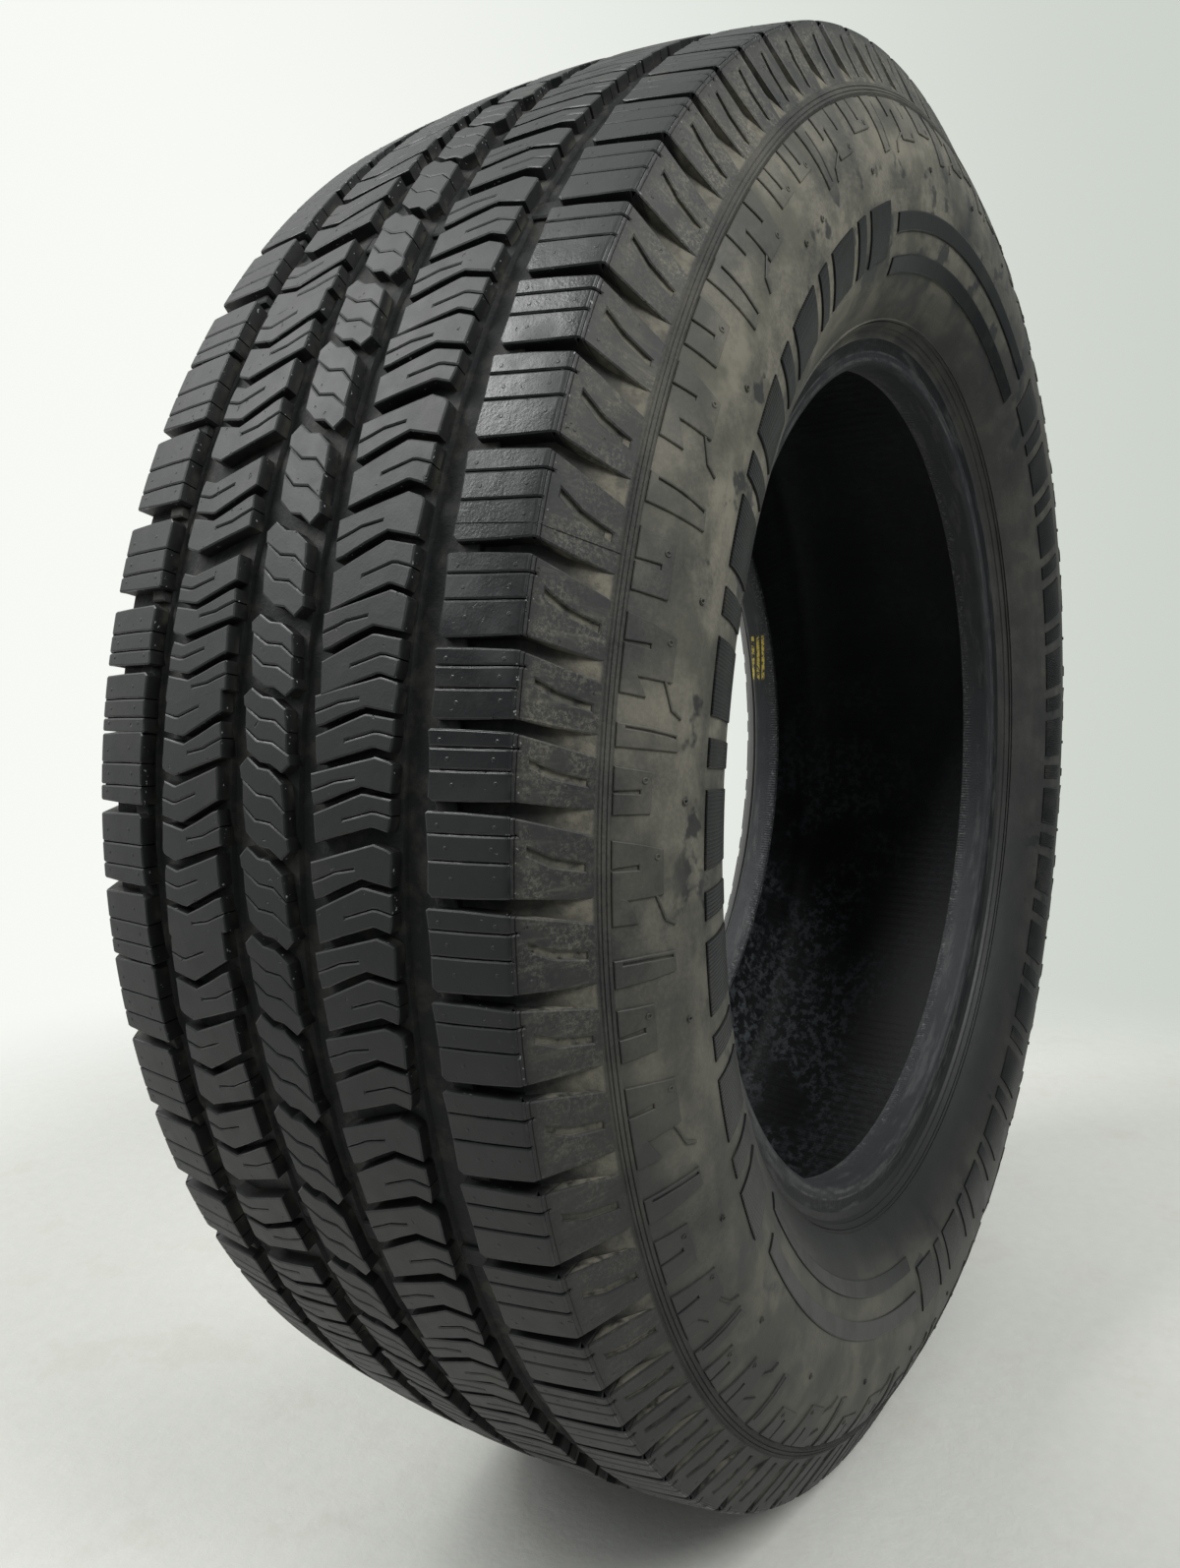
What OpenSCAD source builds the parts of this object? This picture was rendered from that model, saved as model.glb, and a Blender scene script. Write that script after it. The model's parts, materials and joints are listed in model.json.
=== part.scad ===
/* [Overall] */
// Diameter over the middle of the worn crown.
outer_d = 747; // [640:1:880]
// Widest distance over the two sidewalls.
section_w = 247; // [205:1:300]
// Diameter of the two cylindrical seats that grip the rim.
rim_seat_d = 436.6; // [380:0.1:500]
// Height of the small flat that the standing tyre presses on its tread.
flat_depth = 2; // [0.5:0.1:4]

/* [Crown] */
// Width of the tread between its two outer edges.
tread_w = 191; // [150:1:225]
// Fall of the crown from its middle to the tread edge.
crown_drop = 7.4; // [3:0.1:14]
// Rubber and plies under the middle of the crown, ribs included.
crown_wall = 16; // [12:0.5:22]
// Rubber and plies under the tread edge.
shoulder_wall = 20; // [15:0.5:26]
// Way down the buttress over which the tread edge is worn round.
edge_wear = 1.6; // [0.5:0.1:4]

/* [Straight grooves] */
// Depth that wear has left to the four straight grooves.
groove_depth = 7; // [3:0.1:9]
// Middle of each inner groove, from the middle of the tread.
inner_groove_at = 16.4; // [13:0.1:20]
// Width of each inner groove at the tread face.
inner_groove_w = 10.6; // [6:0.1:14]
// Middle of each outer groove, from the middle of the tread.
outer_groove_at = 60.5; // [50:0.1:68]
// Width of each outer groove at the tread face.
outer_groove_w = 12; // [7:0.1:16]
// Lean of a groove wall between tread face and groove floor.
groove_lean = 1.1; // [0.4:0.1:2]

/* [Pitches] */
// Times the run of pitches is repeated around the tread.
runs = 4; // [3:1:5]
// Angle at which the first run starts, in degrees from the front.
run_start = 129.7; // [0:0.1:360]
// Length of a short pitch against the mean of its run.
short_pitch = 0.82; // [0.7:0.01:0.9]
// Length of a middle pitch against the mean of its run.
middle_pitch = 0.99; // [0.9:0.01:1.05]
// Length of a long pitch against the mean of its run.
long_pitch = 1.14; // [1.05:0.01:1.3]

/* [Cross cuts] */
// Depth of the cuts across the three middle ribs.
rib_cut_depth = 5.2; // [2:0.1:8]
// Depth of the grooves across the two shoulders.
shoulder_cut_depth = 6; // [2:0.1:8]
// Width of the grooves across the two shoulders.
shoulder_cut_w = 3.4; // [2:0.1:5]
// Depth of a shoulder groove where it runs down the buttress.
buttress_cut_depth = 3.6; // [1:0.1:6]
// Width of the slanting cuts, as a share of a pitch.
arrow_cut_share = 0.1; // [0.05:0.01:0.15]

/* [Sidewall] */
// Height of the ridge line over the rim seat, as a share of the section.
ridge_height = 0.746; // [0.7:0.001:0.8]
// Half distance between the two ridge lines.
ridge_at = 111.7; // [95:0.1:118]
// Width of the ridge band.
ridge_w = 5; // [3:0.1:8]
// Stand of the ridge band over the sidewall.
ridge_stand = 0.9; // [0.3:0.1:2]
// Height of the rim line over the rim seat.
rim_line_height = 15.5; // [11:0.1:20]
// Half distance between the two rim lines.
rim_line_at = 94.4; // [82:0.1:104]
// Rubber and plies at the widest place.
side_wall = 10.5; // [7:0.1:15]

/* [Bead] */
// Half distance between the outer faces of the two beads.
bead_face_at = 90.6; // [78:0.1:98]
// Width of a bead from its toe to its outer face.
bead_w = 19.6; // [15:0.1:26]
// Width of the seat that touches the rim.
seat_w = 11.5; // [8:0.1:16]
// Radius of the heel between seat and outer face.
heel_r = 4; // [2:0.1:6]
// Height of the bead toe over the seat.
toe_lift = 1.6; // [0.5:0.1:4]

/* [Hidden] */

quarter_turn = 90;
half_turn = 180;
full_turn = 360;
side_steps = 14;
corner_steps = 4;
crown_steps = 8;
past = 6;

outer_r = outer_d / 2;
seat_r = rim_seat_d / 2;
half_w = section_w / 2;
edge_at = tread_w / 2;
section_h = outer_r - seat_r;
crown_r = (edge_at * edge_at + crown_drop * crown_drop) / (2 * crown_drop);
edge_r = outer_r - crown_drop;
ridge_r = seat_r + section_h * ridge_height;
rim_line_r = seat_r + rim_line_height;

// Radius of the tread face at distance a from the middle.
function crown_at(a) = outer_r - crown_r + sqrt(crown_r * crown_r - a * a);

// Middle of the circle through three points.
function circle_mid(p, q, s) =
    let (
        d = 2 * (p[0] * (q[1] - s[1]) + q[0] * (s[1] - p[1]) + s[0] * (p[1] - q[1])),
        pp = p * p,
        qq = q * q,
        ss = s * s
    )
    [
        (pp * (q[1] - s[1]) + qq * (s[1] - p[1]) + ss * (p[1] - q[1])) / d,
        (pp * (s[0] - q[0]) + qq * (p[0] - s[0]) + ss * (q[0] - p[0])) / d
    ];

// Angle brought within a half turn of zero.
function near_zero(a) = a > half_turn ? a - full_turn
    : a < -half_turn ? a + full_turn : a;

// Points on the arc from p through q to s, both ends kept.
function arc_through(p, q, s, n) =
    let (
        c = circle_mid(p, q, s),
        rad = norm(p - c),
        a0 = atan2(p[1] - c[1], p[0] - c[0]),
        a1 = atan2(q[1] - c[1], q[0] - c[0]),
        a2 = atan2(s[1] - c[1], s[0] - c[0]),
        sweep = near_zero(a1 - a0) + near_zero(a2 - a1)
    )
    [for (i = [0:n]) c + rad * [cos(a0 + sweep * i / n), sin(a0 + sweep * i / n)]];

// Points of the half section are written [distance from the middle, radius].

// One straight groove with leaning walls.
function groove(at, w) = [
    [at - w / 2, crown_at(at - w / 2)],
    [at - w / 2 + groove_lean, crown_at(at) - groove_depth],
    [at + w / 2 - groove_lean, crown_at(at) - groove_depth],
    [at + w / 2, crown_at(at + w / 2)]
];

mid_rib_edge = inner_groove_at - inner_groove_w / 2;
rib_in = inner_groove_at + inner_groove_w / 2;
rib_out = outer_groove_at - outer_groove_w / 2;
shoulder_in = outer_groove_at + outer_groove_w / 2;
rib_mid = (rib_in + rib_out) / 2;
shoulder_mid = (shoulder_in + edge_at) / 2;

// Way down the buttress, from the tread edge to the ridge line.
buttress_run = [ridge_at - edge_at, ridge_r - edge_r];
buttress_dir = buttress_run / norm(buttress_run);
buttress_out = [-buttress_dir[1], buttress_dir[0]];

crown_half = concat(
    groove(inner_groove_at, inner_groove_w),
    [[rib_mid, crown_at(rib_mid)]],
    groove(outer_groove_at, outer_groove_w),
    [[shoulder_mid, crown_at(shoulder_mid)]],
    arc_through(
        [edge_at - edge_wear, crown_at(edge_at - edge_wear)],
        [edge_at, edge_r] - edge_wear / 4 * (buttress_out + [1, 0]) / 2,
        [edge_at, edge_r] + edge_wear * buttress_dir,
        2
    )
);

// Raised band between buttress and sidewall, its two edges sloped.
band_slope = 0.2;
band_top = [ridge_at, ridge_r] - ridge_w * buttress_dir;
band_face = ridge_stand * buttress_out;
band_half = [
    band_top,
    band_top + band_face + band_slope * ridge_w * buttress_dir,
    band_top + band_face + (1 - band_slope) * ridge_w * buttress_dir
];

// Sidewall bulge, widest a little over the middle of its own height.
wide_lift = 0.06;
wide_r = (ridge_r + rim_line_r) / 2;
side_half = arc_through(
    [ridge_at, ridge_r],
    [half_w, wide_r + wide_lift * section_h],
    [rim_line_at, rim_line_r],
    side_steps
);

// Hollow that the rim flange lies in, then the outer face of the bead.
hollow_share = 0.7;
hollow_h = 1.7;
hollow_w = 0.3;
hollow_r = seat_r + hollow_share * rim_line_height;
bead_out_half = [
    [bead_face_at + hollow_h - hollow_w, hollow_r + hollow_h],
    [bead_face_at + hollow_w, hollow_r - hollow_h],
    [bead_face_at, seat_r + heel_r]
];

heel_half = [for (i = [1:corner_steps])
    [
        bead_face_at - heel_r + heel_r * cos(quarter_turn * i / corner_steps),
        seat_r + heel_r - heel_r * sin(quarter_turn * i / corner_steps)
    ]
];

// Seat and rounded toe.
toe_at = bead_face_at - bead_w;
seat_in = bead_face_at - heel_r - seat_w;
toe_half = [
    [seat_in, seat_r],
    [toe_at + toe_lift / 2, seat_r + toe_lift / 2],
    [toe_at, seat_r + 3 / 2 * toe_lift],
    [toe_at + toe_lift, seat_r + 3 * toe_lift]
];

// Inner face: up from the bead, round the shoulder and over the crown.
in_low_share = 0.4;
in_high_share = 0.62;
in_edge_share = 0.35;
in_round = 0.06;
in_low = [toe_at + in_low_share * bead_w, rim_line_r];
in_wide = [half_w - side_wall, wide_r];
in_high = [ridge_at - in_high_share * shoulder_wall, ridge_r];
in_crown = [edge_at - in_edge_share * shoulder_wall, edge_r - shoulder_wall];
in_corner = (in_high + in_crown) / 2 + in_round * shoulder_wall * [1, 1];
in_side_half = arc_through(in_low, in_wide, in_high, side_steps);
in_corner_half = arc_through(in_high, in_corner, in_crown, corner_steps);
in_crown_whole = arc_through(
    in_crown,
    [0, outer_r - crown_wall],
    [-in_crown[0], in_crown[1]],
    crown_steps
);

half_points = concat(
    crown_half,
    band_half,
    side_half,
    bead_out_half,
    heel_half,
    toe_half,
    in_side_half,
    [for (i = [1:corner_steps - 1]) in_corner_half[i]],
    [for (i = [0:crown_steps / 2 - 1]) in_crown_whole[i]]
);
half_n = len(half_points);

// The whole section: one half, the middle of the inner face, the other half.
section = concat(
    [for (i = [0:half_n - 1]) [half_points[i][1], half_points[i][0]]],
    [[outer_r - crown_wall, 0]],
    [for (i = [half_n - 1:-1:0]) [half_points[i][1], -half_points[i][0]]],
    [[outer_r, 0]]
);

// Body of the tyre with its four straight grooves, turning axis along Y.
module carcass() {
    rotate([-quarter_turn, 0, 0])
        rotate_extrude(angle = full_turn, $fn = full_turn)
            polygon(section);
}

// Letters of one run of pitches: short, middle and long.
pitch_run = "SMLLMLLMSSMMMLLLMSS";
run_n = len(pitch_run);

// Share of the mean length that the pitch at place i of a run takes.
function share(i) = pitch_run[i] == "S" ? short_pitch
    : pitch_run[i] == "M" ? middle_pitch : long_pitch;

// Sum of the shares of the first n pitches of a run.
function share_to(n) = n == 0 ? 0 : share(n - 1) + share_to(n - 1);

run_angle = full_turn / runs;
share_angle = run_angle / share_to(run_n);

// Length of the pitch at place i, measured around the crown.
function pitch_len(i) = share(i) * share_angle * PI * outer_r / half_turn;

// Place in a pitch about which the blocks turn half round onto each other.
mid_phase = 0.165;

// Outline points are written [distance to the near side, share of a pitch].

// One slanting cut across a middle rib, with its knee near the outer edge.
function arrow(in_share, knee_at, knee_share, out_share) =
    let (
        w = arrow_cut_share / 2,
        rise = (knee_share - in_share) / (knee_at - rib_in),
        fall = (out_share - knee_share) / (rib_out - knee_at)
    )
    [
        [rib_in - past, in_share - rise * past - w],
        [knee_at, knee_share - w],
        [rib_out + past, out_share + fall * past - w],
        [rib_out + past, out_share + fall * past + w],
        [knee_at, knee_share + w],
        [rib_in - past, in_share - rise * past + w]
    ];

rib_w = rib_out - rib_in;
upper_arrow = arrow(0.645, rib_in + 0.75 * rib_w, 0.39, 0.445);
lower_arrow = arrow(0.158, rib_in + 0.63 * rib_w, -0.128, -0.071);

// Winding cut between two blocks of the middle rib, as shares of its half width.
winding_edge = 1.14;
winding_half = [
    [-winding_edge, 0.25],
    [-0.72, 0.295],
    [-0.2, 0.426],
    [0.35, 0.459],
    [0.77, 0.557],
    [winding_edge, 0.46]
];
winding_n = len(winding_half);
winding_cut = concat(
    [for (p = winding_half) [p[0] * mid_rib_edge, mid_phase + p[1]]],
    [for (p = winding_half) [-p[0] * mid_rib_edge, mid_phase + 1 - p[1]]]
);

// The same outline turned half round the middle of the middle block.
function turned(points) = [for (p = points) [-p[0], 2 * mid_phase - p[1]]];

// Upright prism that cuts down to a given floor.
module cut_prism(points, len, floor_r) {
    translate([floor_r, 0, 0])
        rotate([quarter_turn, 0, quarter_turn])
            linear_extrude(height = outer_r + past - floor_r)
                polygon([for (p = points) [-p[0], p[1] * len]]);
}

// Groove across the near shoulder, its floor running out down the buttress.
shoulder_floor = crown_at(shoulder_mid) - shoulder_cut_depth;
run_out = band_top - buttress_dir / 2;
floor_knee = (run_out + [edge_at, edge_r]) / 2 - buttress_cut_depth * buttress_out;
shoulder_outline = [
    [shoulder_floor, -outer_groove_at],
    [shoulder_floor, shoulder_cut_depth / 2 - edge_at],
    [floor_knee[1], -floor_knee[0]],
    [run_out[1], -run_out[0]],
    [run_out[1] + past, -run_out[0] - 2 * past],
    [outer_r + past, -edge_at],
    [outer_r + past, -outer_groove_at]
];
module shoulder_cut() {
    translate([0, 0, -shoulder_cut_w / 2])
        linear_extrude(height = shoulder_cut_w)
            polygon(shoulder_outline);
}

rib_floor = crown_at(rib_mid) - rib_cut_depth;
mid_floor = outer_r - rib_cut_depth;

// All the cuts of one pitch.
module pitch_cuts(len) {
    shoulder_cut();
    translate([0, 0, 2 * mid_phase * len])
        rotate([half_turn, 0, 0])
            shoulder_cut();
    cut_prism(upper_arrow, len, rib_floor);
    cut_prism(lower_arrow, len, rib_floor);
    cut_prism(turned(upper_arrow), len, rib_floor);
    cut_prism(turned(lower_arrow), len, rib_floor);
    cut_prism(winding_cut, len, mid_floor);
}

// Cuts all the way round, in runs of unequal pitches.
module cross_cuts() {
    for (run = [0:runs - 1]) {
        for (i = [0:run_n - 1]) {
            rotate([0, -(run_start + run * run_angle + share_to(i) * share_angle), 0])
                pitch_cuts(pitch_len(i));
        }
    }
}

// Block of room under the small flat on which the tyre stands.
module under_flat() {
    flat_r = outer_r - flat_depth;
    translate([-outer_r, -section_w, -outer_r - past])
        cube([2 * outer_r, 2 * section_w, outer_r + past - flat_r]);
}

rubber = [0.17, 0.18, 0.18];

module tyre() {
    color(rubber)
        difference() {
            carcass();
            cross_cuts();
            under_flat();
        }
}

tyre();
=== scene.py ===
"""An old worn car tyre standing on its tread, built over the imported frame.

The tyre is drawn rolled flat, as a mould maker draws it, and each block and
mark is then pressed onto the curved skin of one spun casing.
"""

import json
import logging
import math
from bisect import bisect_right
from collections.abc import Callable, Iterable, Iterator, Sequence
from dataclasses import dataclass
from enum import Enum

import bmesh
import bpy
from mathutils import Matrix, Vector

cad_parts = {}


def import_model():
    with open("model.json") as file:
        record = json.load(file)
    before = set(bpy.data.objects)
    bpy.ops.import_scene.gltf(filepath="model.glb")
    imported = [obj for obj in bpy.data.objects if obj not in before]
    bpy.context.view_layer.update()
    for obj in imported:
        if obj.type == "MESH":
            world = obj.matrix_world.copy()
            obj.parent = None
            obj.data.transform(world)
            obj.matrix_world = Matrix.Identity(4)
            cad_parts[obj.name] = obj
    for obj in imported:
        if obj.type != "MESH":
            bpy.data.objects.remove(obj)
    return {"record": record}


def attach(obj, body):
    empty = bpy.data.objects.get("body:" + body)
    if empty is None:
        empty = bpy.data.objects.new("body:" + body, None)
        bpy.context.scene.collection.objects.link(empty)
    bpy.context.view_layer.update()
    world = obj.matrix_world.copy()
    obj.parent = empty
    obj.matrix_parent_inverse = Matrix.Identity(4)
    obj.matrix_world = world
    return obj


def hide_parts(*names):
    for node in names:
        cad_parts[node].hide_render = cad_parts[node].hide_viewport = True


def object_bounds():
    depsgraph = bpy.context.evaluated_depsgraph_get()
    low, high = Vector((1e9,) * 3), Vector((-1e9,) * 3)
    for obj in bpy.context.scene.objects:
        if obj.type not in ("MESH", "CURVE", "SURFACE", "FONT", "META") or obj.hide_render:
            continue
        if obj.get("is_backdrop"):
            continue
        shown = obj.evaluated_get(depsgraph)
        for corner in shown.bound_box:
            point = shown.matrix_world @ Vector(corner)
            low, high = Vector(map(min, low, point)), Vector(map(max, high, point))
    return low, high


MM = 0.001
NODE = "tyre"
BODY = "root"
LOG = logging.getLogger("tyre")
SHARP_TURN = math.radians(22)
MERGE = 0.01 * MM

Mesh = bmesh.types.BMesh
Material = bpy.types.Material
Piece = bpy.types.Object
Socket = bpy.types.NodeSocket
Pair = tuple[float, float]
Colour = tuple[float, float, float]


def arc(start: Pair, via: Pair, end: Pair, steps: int) -> list[Pair]:
    """Works out points on a circle through three points.

    Args:
        start: The first point.
        via: A point that the arc passes.
        end: The last point.
        steps: The number of parts that the arc is cut into.

    Returns:
        The points in order, both ends kept.
    """
    (x0, y0), (x1, y1), (x2, y2) = start, via, end
    d = 2 * (x0 * (y1 - y2) + x1 * (y2 - y0) + x2 * (y0 - y1))
    q0, q1, q2 = (x * x + y * y for x, y in (start, via, end))
    cx = (q0 * (y1 - y2) + q1 * (y2 - y0) + q2 * (y0 - y1)) / d
    cy = (q0 * (x2 - x1) + q1 * (x0 - x2) + q2 * (x1 - x0)) / d
    radius = math.hypot(x0 - cx, y0 - cy)
    turns = [math.atan2(y - cy, x - cx) for x, y in (start, via, end)]
    first = math.remainder(turns[1] - turns[0], math.tau)
    sweep = first + math.remainder(turns[2] - turns[1], math.tau)
    angles = [turns[0] + sweep * i / steps for i in range(steps + 1)]
    return [(cx + radius * math.cos(angle), cy + radius * math.sin(angle)) for angle in angles]


def along(start: Pair, direction: Pair, way: float, lift: float = 0.0) -> Pair:
    """Gives the point some way along a line and some way off to its left."""
    (x, y), (dx, dy) = start, direction
    return (x + dx * way - dy * lift, y + dy * way + dx * lift)


def ring(middle: Pair, radius: float, corners: int) -> list[Pair]:
    """Gives the corners of a regular polygon."""
    turns = [math.tau * i / corners for i in range(corners)]
    return [(middle[0] + radius * math.cos(t), middle[1] + radius * math.sin(t)) for t in turns]


def add_object(name: str, data: bpy.types.ID) -> Piece:
    """Puts a new object into the scene, unturned and unscaled.

    Args:
        name: The object's name.
        data: Its mesh, lamp or camera.

    Returns:
        The new object.
    """
    new = bpy.data.objects.new(name, data)
    bpy.context.scene.collection.objects.link(new)
    return new


@dataclass(frozen=True)
class Section:
    """Driving sizes of the tyre's section, in millimetres."""

    outer_r: float
    seat_r: float
    half_w: float
    flat_z: float
    edge_at: float = 95.5
    crown_drop: float = 7.4
    crown_wall: float = 16.0
    shoulder_wall: float = 20.0
    edge_wear: float = 1.6
    groove_depth: float = 7.0
    inner_groove: Pair = (16.4, 10.6)
    outer_groove: Pair = (60.5, 12.0)
    groove_lean: float = 0.8
    rib_cut_depth: float = 5.2
    shoulder_cut_depth: float = 6.0
    buttress_cut_depth: float = 3.6
    ridge_height: float = 0.746
    ridge_at: float = 111.7
    ridge_w: float = 5.0
    rim_line_height: float = 15.5
    rim_line_at: float = 94.4
    side_wall: float = 10.5
    bead_face_at: float = 90.6
    bead_w: float = 19.6
    seat_w: float = 11.5
    heel_r: float = 4.0
    toe_lift: float = 1.6

    @property
    def crown_r(self) -> float:
        """Radius of the crown's own curve across the tread."""
        return (self.edge_at**2 + self.crown_drop**2) / (2 * self.crown_drop)

    @property
    def edge(self) -> Pair:
        """The tread edge."""
        return (self.edge_at, self.outer_r - self.crown_drop)

    @property
    def ridge(self) -> Pair:
        """The ridge line, where the sidewall starts."""
        height = self.outer_r - self.seat_r
        return (self.ridge_at, self.seat_r + height * self.ridge_height)

    @property
    def rim_line(self) -> Pair:
        """The rim line, where the sidewall ends."""
        return (self.rim_line_at, self.seat_r + self.rim_line_height)

    @property
    def widest(self) -> Pair:
        """The widest point of the sidewall."""
        middle = (self.ridge[1] + self.rim_line[1]) / 2
        return (self.half_w, middle + 0.06 * (self.outer_r - self.seat_r))

    @property
    def down(self) -> Pair:
        """Direction down the buttress, from the tread edge to the ridge."""
        run = Vector(self.ridge) - Vector(self.edge)
        return tuple(run.normalized())

    @property
    def band_top(self) -> Pair:
        """Upper edge of the band that ends in the ridge line."""
        return along(self.ridge, self.down, -self.ridge_w)

    def crown(self, across: float, depth: float = 0.0) -> Pair:
        """Gives the point at a distance from the middle, below the tread face."""
        fall = self.crown_r - math.sqrt(self.crown_r**2 - across**2)
        return (across, self.outer_r - fall - depth)


class Skin:
    """The outer surface rolled flat: across it, round it and out of it.

    STEP is the spacing of its points over the crown, and FEEL half the stretch
    over which its slope is taken, both in millimetres.
    """

    STEP = 2.0
    FEEL = 0.6

    def __init__(self, section: Section) -> None:
        """Lays the surface out from the middle of the crown to the rim line.

        Args:
            section: The tyre's section.
        """
        self.section = section
        last = section.edge_at - section.edge_wear
        count = round(last / self.STEP)
        crown = [section.crown(last * i / count) for i in range(count + 1)]
        under = along(section.edge, section.down, section.edge_wear)
        corner = along(section.edge, section.down, 0.0, -section.edge_wear / 4)
        edge = arc(crown[-1], corner, under, 5)
        side = arc(section.ridge, section.widest, section.rim_line, 56)
        self.points = crown + edge[1:] + side
        self.run = [0.0]
        for one, two in zip(self.points, self.points[1:]):
            self.run.append(self.run[-1] + math.dist(one, two))
        self.edge = self.from_middle(section.edge_at)
        self.ridge = self.run[len(crown) + len(edge) - 1]
        self.rim_line = self.run[-1]

    def from_middle(self, across: float) -> float:
        """Measures over the skin.

        Args:
            across: A distance from the middle of the tread.

        Returns:
            The way over the skin to that distance.
        """
        ahead = next(i for i, p in enumerate(self.points) if p[0] >= across)
        if ahead == 0:
            return 0.0
        one, two = self.points[ahead - 1], self.points[ahead]
        share = (across - one[0]) / (two[0] - one[0])
        return self.run[ahead - 1] + share * (self.run[ahead] - self.run[ahead - 1])

    def point(self, way: float) -> Pair:
        """Finds a point of the section.

        Args:
            way: How far it lies from the middle of the tread, over the skin.

        Returns:
            Its distance across and its radius.
        """
        ahead = min(max(bisect_right(self.run, way), 1), len(self.run) - 1)
        gap = self.run[ahead] - self.run[ahead - 1]
        share = (way - self.run[ahead - 1]) / gap
        one, two = self.points[ahead - 1], self.points[ahead]
        return (one[0] + share * (two[0] - one[0]), one[1] + share * (two[1] - one[1]))

    def lifted(self, way: float, lift: float) -> Pair:
        """Finds a point above or below the section's outline.

        Args:
            way: How far it lies from the middle of the tread, over the skin.
            lift: How far it is lifted off the skin.

        Returns:
            Its distance across and its radius.
        """
        one, two = self.point(way - self.FEEL), self.point(way + self.FEEL)
        length = math.dist(one, two)
        direction = ((two[0] - one[0]) / length, (two[1] - one[1]) / length)
        return along(self.point(way), direction, 0.0, lift)

    def bend(self, flat: Vector, start: float) -> Vector:
        """Bends a point of the flat drawing onto the standing tyre.

        Args:
            flat: Way over the skin, way round it and lift off it. The way
                over it is positive on the near side.
            start: Angle at which the drawing starts, in radians.

        Returns:
            The point in the row frame, in metres, never below the small flat
            on which the tyre stands.
        """
        across, radius = self.lifted(abs(flat.x), flat.z)
        angle = start + flat.y / self.section.outer_r
        return MM * Vector(
            (
                radius * math.cos(angle),
                -math.copysign(across, flat.x),
                max(radius * math.sin(angle), self.section.flat_z),
            )
        )


class Pitch(Enum):
    """The three pitch lengths, as shares of their run's mean."""

    SHORT = 0.82
    MIDDLE = 0.99
    LONG = 1.14


@dataclass(frozen=True)
class Pitches:
    """The run of unequal pitches round the tread."""

    outer_r: float
    word: str = "SMLLMLLMSSMMMLLLMSS"
    runs: int = 4
    first: float = 129.6
    middle: float = 0.165

    @property
    def kinds(self) -> list[Pitch]:
        """The pitches of one run in order."""
        letters = {kind.name[0]: kind for kind in Pitch}
        return [letters[letter] for letter in self.word]

    @property
    def share_angle(self) -> float:
        """Angle of a pitch of share 1, in radians."""
        return math.tau / self.runs / sum(kind.value for kind in self.kinds)

    def length(self, kind: Pitch) -> float:
        """Gives a pitch's length round the crown."""
        return kind.value * self.share_angle * self.outer_r

    def turned(self, kind: Pitch) -> float:
        """Gives how far on a pitch starts when it is turned half round."""
        return 2 * self.middle * self.length(kind)

    def __iter__(self) -> Iterator[tuple[Pitch, float]]:
        """Goes round the tyre.

        Yields:
            Each pitch and its starting angle.
        """
        angle = math.radians(self.first)
        for kind in self.kinds * self.runs:
            yield kind, angle
            angle += kind.value * self.share_angle


def join(shape: Mesh, corners: Sequence[bmesh.types.BMVert]) -> None:
    """Joins the corners with edges into a closed border."""
    for one, two in zip(corners, [*corners[1:], corners[0]]):
        shape.edges.new((one, two))


@dataclass(frozen=True)
class Block:
    """One moulded block or mark, drawn flat in millimetres."""

    outline: Sequence[Pair]
    holes: Sequence[Sequence[Pair]] = ()
    top: float = 0.0
    foot: float = -7.0
    rim: float = 0.6
    round_off: float = 0.35
    cross_lines: Sequence[float] = ()
    long_lines: Sequence[float] = ()

    def build(self) -> Mesh:
        """Raises the outline into a closed block with a worn upper edge.

        Returns:
            The block, whose caller frees it.
        """
        block = bmesh.new()
        for border in (self.outline, *self.holes):
            join(block, [block.verts.new((x, y, self.foot)) for x, y in border])
        bmesh.ops.triangle_fill(block, edges=block.edges[:], use_beauty=True, normal=(0, 0, 1))
        bmesh.ops.dissolve_limit(block, angle_limit=0.01, verts=block.verts[:], edges=block.edges[:])
        block.normal_update()
        for face in block.faces:
            if face.normal.z < 0:
                face.normal_flip()
        copied = bmesh.ops.extrude_face_region(block, geom=block.faces[:], use_keep_orig=True)
        raised = copied["geom"]
        lift = Vector((0, 0, self.top - self.round_off - self.foot))
        upper = [part for part in raised if isinstance(part, bmesh.types.BMVert)]
        bmesh.ops.translate(block, verts=upper, vec=lift)
        block.normal_update()
        faces = [part for part in raised if isinstance(part, bmesh.types.BMFace)]
        sizes = {"thickness": self.rim, "depth": self.round_off}
        bmesh.ops.inset_region(block, faces=faces, **sizes, use_boundary=True, use_even_offset=True)
        for lines, normal in ((self.cross_lines, (1, 0, 0)), (self.long_lines, (0, 1, 0))):
            for way in lines:
                parts = block.verts[:] + block.edges[:] + block.faces[:]
                place = Vector(normal) * way
                bmesh.ops.bisect_plane(block, geom=parts, dist=0.001, plane_co=place, plane_no=normal)
        return block


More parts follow.
